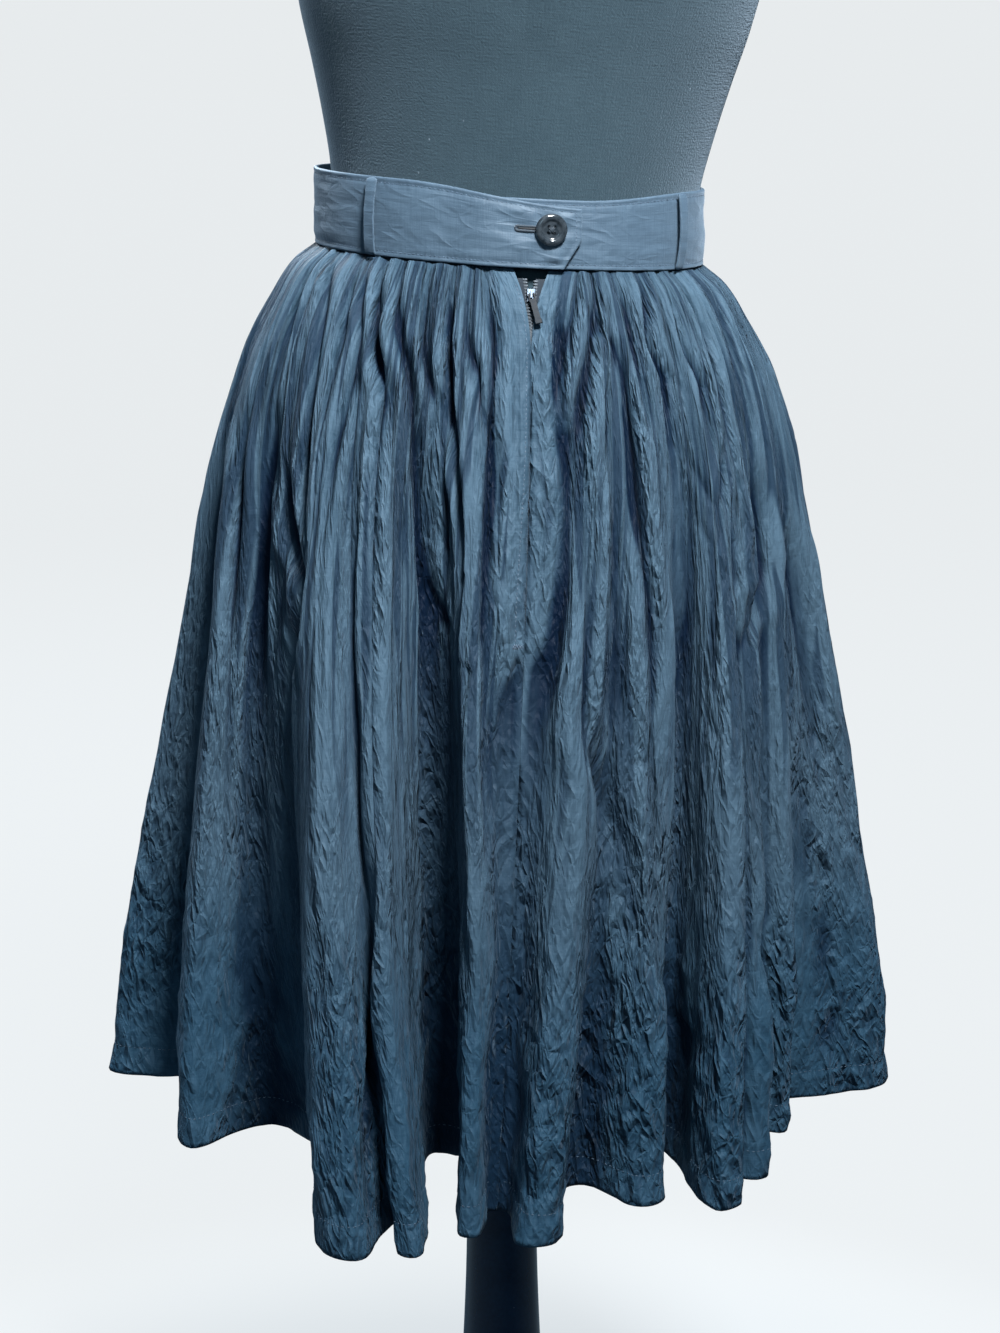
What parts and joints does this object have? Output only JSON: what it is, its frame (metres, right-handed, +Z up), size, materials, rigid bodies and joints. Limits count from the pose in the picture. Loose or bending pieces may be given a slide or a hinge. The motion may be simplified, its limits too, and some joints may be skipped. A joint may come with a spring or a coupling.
{
  "type": "full skirt on dress form",
  "caption": "Full gathered skirt of crinkled cloth with a lapped, buttoned waistband, belt loops and a front zip, on a limbless dress form with a turned pole and round base.",
  "frame": {"origin": "middle of the underside of the stand's base, on the floor", "axes": "+Z up along the pole; the wearer's front faces -Y, with the skirt's centre front turned about 7 degrees towards +X"},
  "size_m": [0.5204, 0.5153, 1.5529],
  "materials": {
    "skirt_cloth": "crinkled slate-navy silk-like cloth with a soft sheen",
    "band_cloth": "plain slate-navy cloth, pressed, edge stitched",
    "zip_tape": "dark woven tape",
    "form_cloth": "fine matt blue-grey cover cloth",
    "button_plastic": "polished near-black",
    "zip_metal": "dark enamelled metal, worn bright on its edges",
    "stand_lacquer": "black gloss lacquer"
  },
  "bodies": {
    "root": {"skirt_front_left": "skirt_cloth", "skirt_front_right": "skirt_cloth", "skirt_back": "skirt_cloth", "waistband": "band_cloth", "belt_loop_1": "band_cloth", "belt_loop_2": "band_cloth", "belt_loop_3": "band_cloth", "belt_loop_4": "band_cloth", "belt_loop_5": "band_cloth", "button": "button_plastic", "zip_tape_left": "zip_tape", "zip_tape_right": "zip_tape", "zip_slider": "zip_metal", "dress_form": "form_cloth", "neck_cap": "stand_lacquer", "pole": "stand_lacquer", "base": "stand_lacquer"},
    "zip_pull": {"zip_pull": "zip_metal"}
  },
  "joints": [
    {"name": "zip_pull_swing", "type": "hinge", "parent": "root", "child": "zip_pull", "pos_m": [0.01676, -0.1042, 0.99859], "axis": [-0.9713, -0.1154, -0.2079], "range_deg": [0, 130]}
  ]
}
